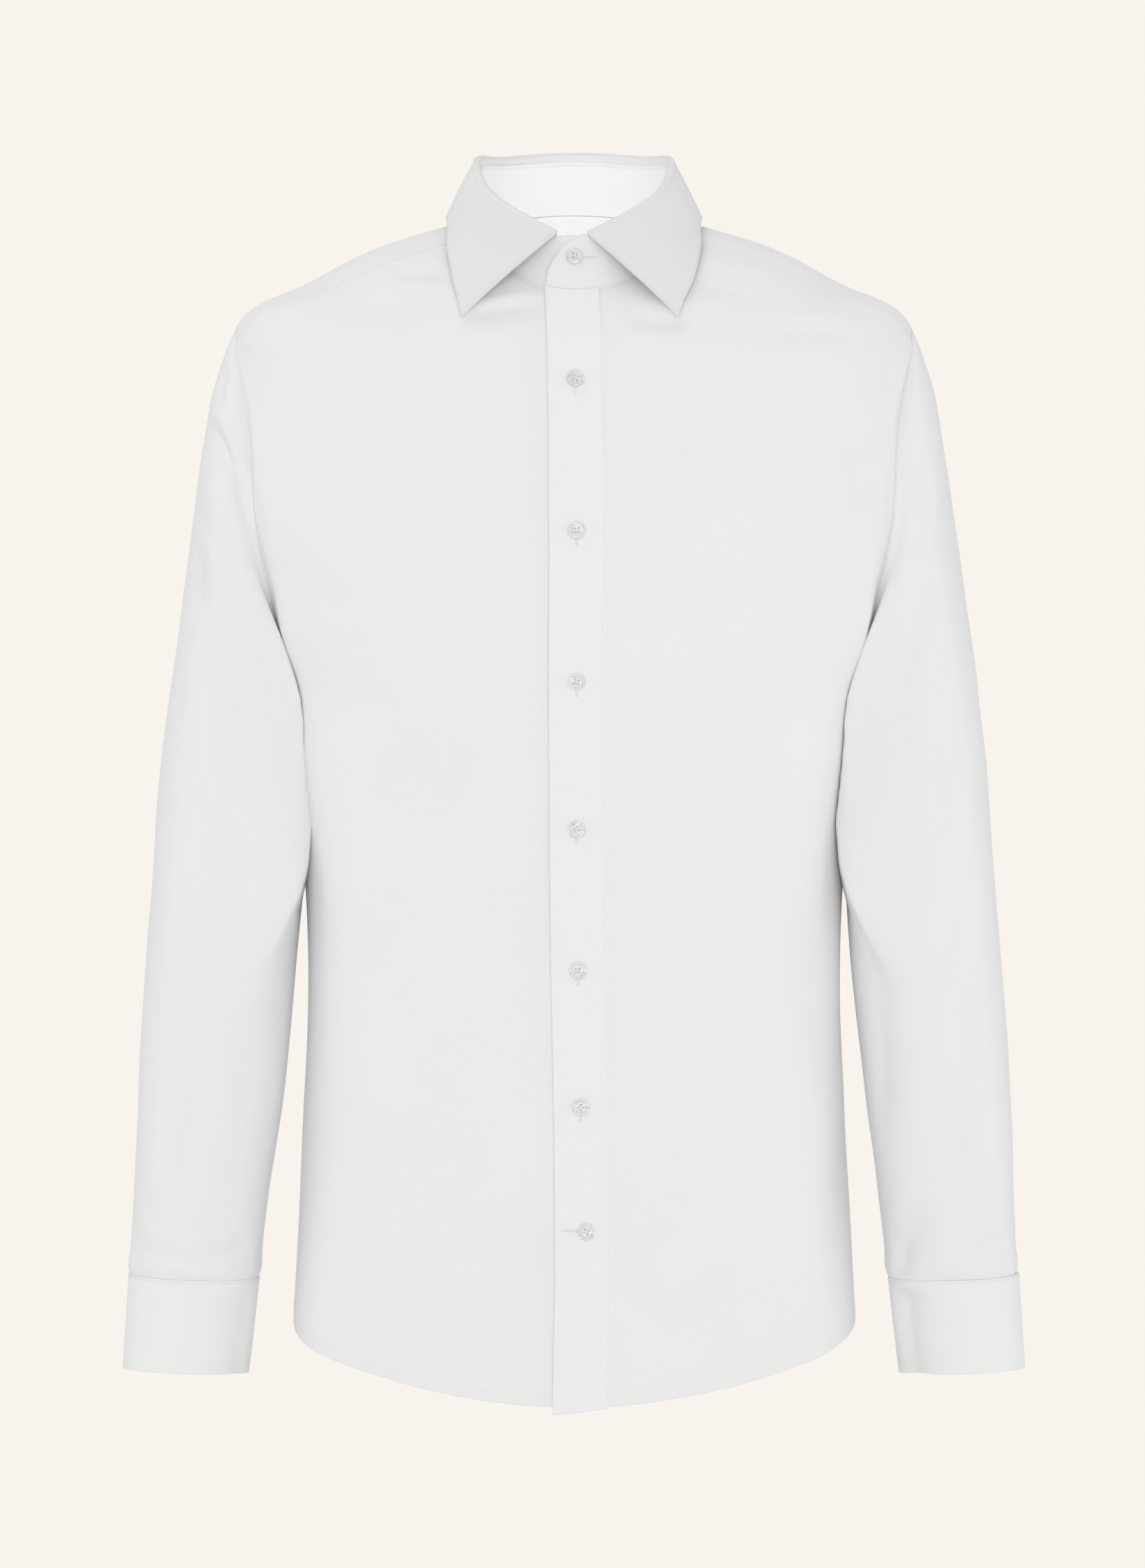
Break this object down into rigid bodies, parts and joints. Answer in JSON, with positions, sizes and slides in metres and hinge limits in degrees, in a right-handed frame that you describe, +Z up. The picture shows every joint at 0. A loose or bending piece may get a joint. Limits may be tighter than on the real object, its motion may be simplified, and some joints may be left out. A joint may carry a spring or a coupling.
{
  "type": "formal shirt",
  "caption": "Long-sleeved formal shirt, buttoned up, with a turned-down collar, a front strip, buttoned cuffs and a curved hem, filled out and hollow.",
  "frame": {"origin": "middle of the neck between the front and back, at the height of the wearer's shoulder bones", "axes": "+Z up, -Y towards the front of the shirt, +X towards the wearer's left"},
  "size_m": [0.593, 0.242, 0.8438],
  "materials": {
    "cloth": "matt fine plain-woven white cotton",
    "stiff_cloth": "matt fine plain-woven white cotton, stiffened",
    "button": "glossy pearly white"
  },
  "bodies": {
    "root": {"front_left": "cloth", "front_right": "cloth", "back": "cloth", "yoke": "cloth", "placket": "stiff_cloth", "collar_band": "stiff_cloth", "collar_leaf": "stiff_cloth", "sleeve_left": "cloth", "cuff_left": "stiff_cloth", "sleeve_strip_left": "stiff_cloth", "sleeve_right": "cloth", "cuff_right": "stiff_cloth", "sleeve_strip_right": "stiff_cloth", "button_front_1": "button", "button_front_2": "button", "button_front_3": "button", "button_front_4": "button", "button_front_5": "button", "button_front_6": "button", "button_front_7": "button", "button_collar": "button", "button_cuff_left": "button", "button_cuff_right": "button"}
  },
  "joints": []
}
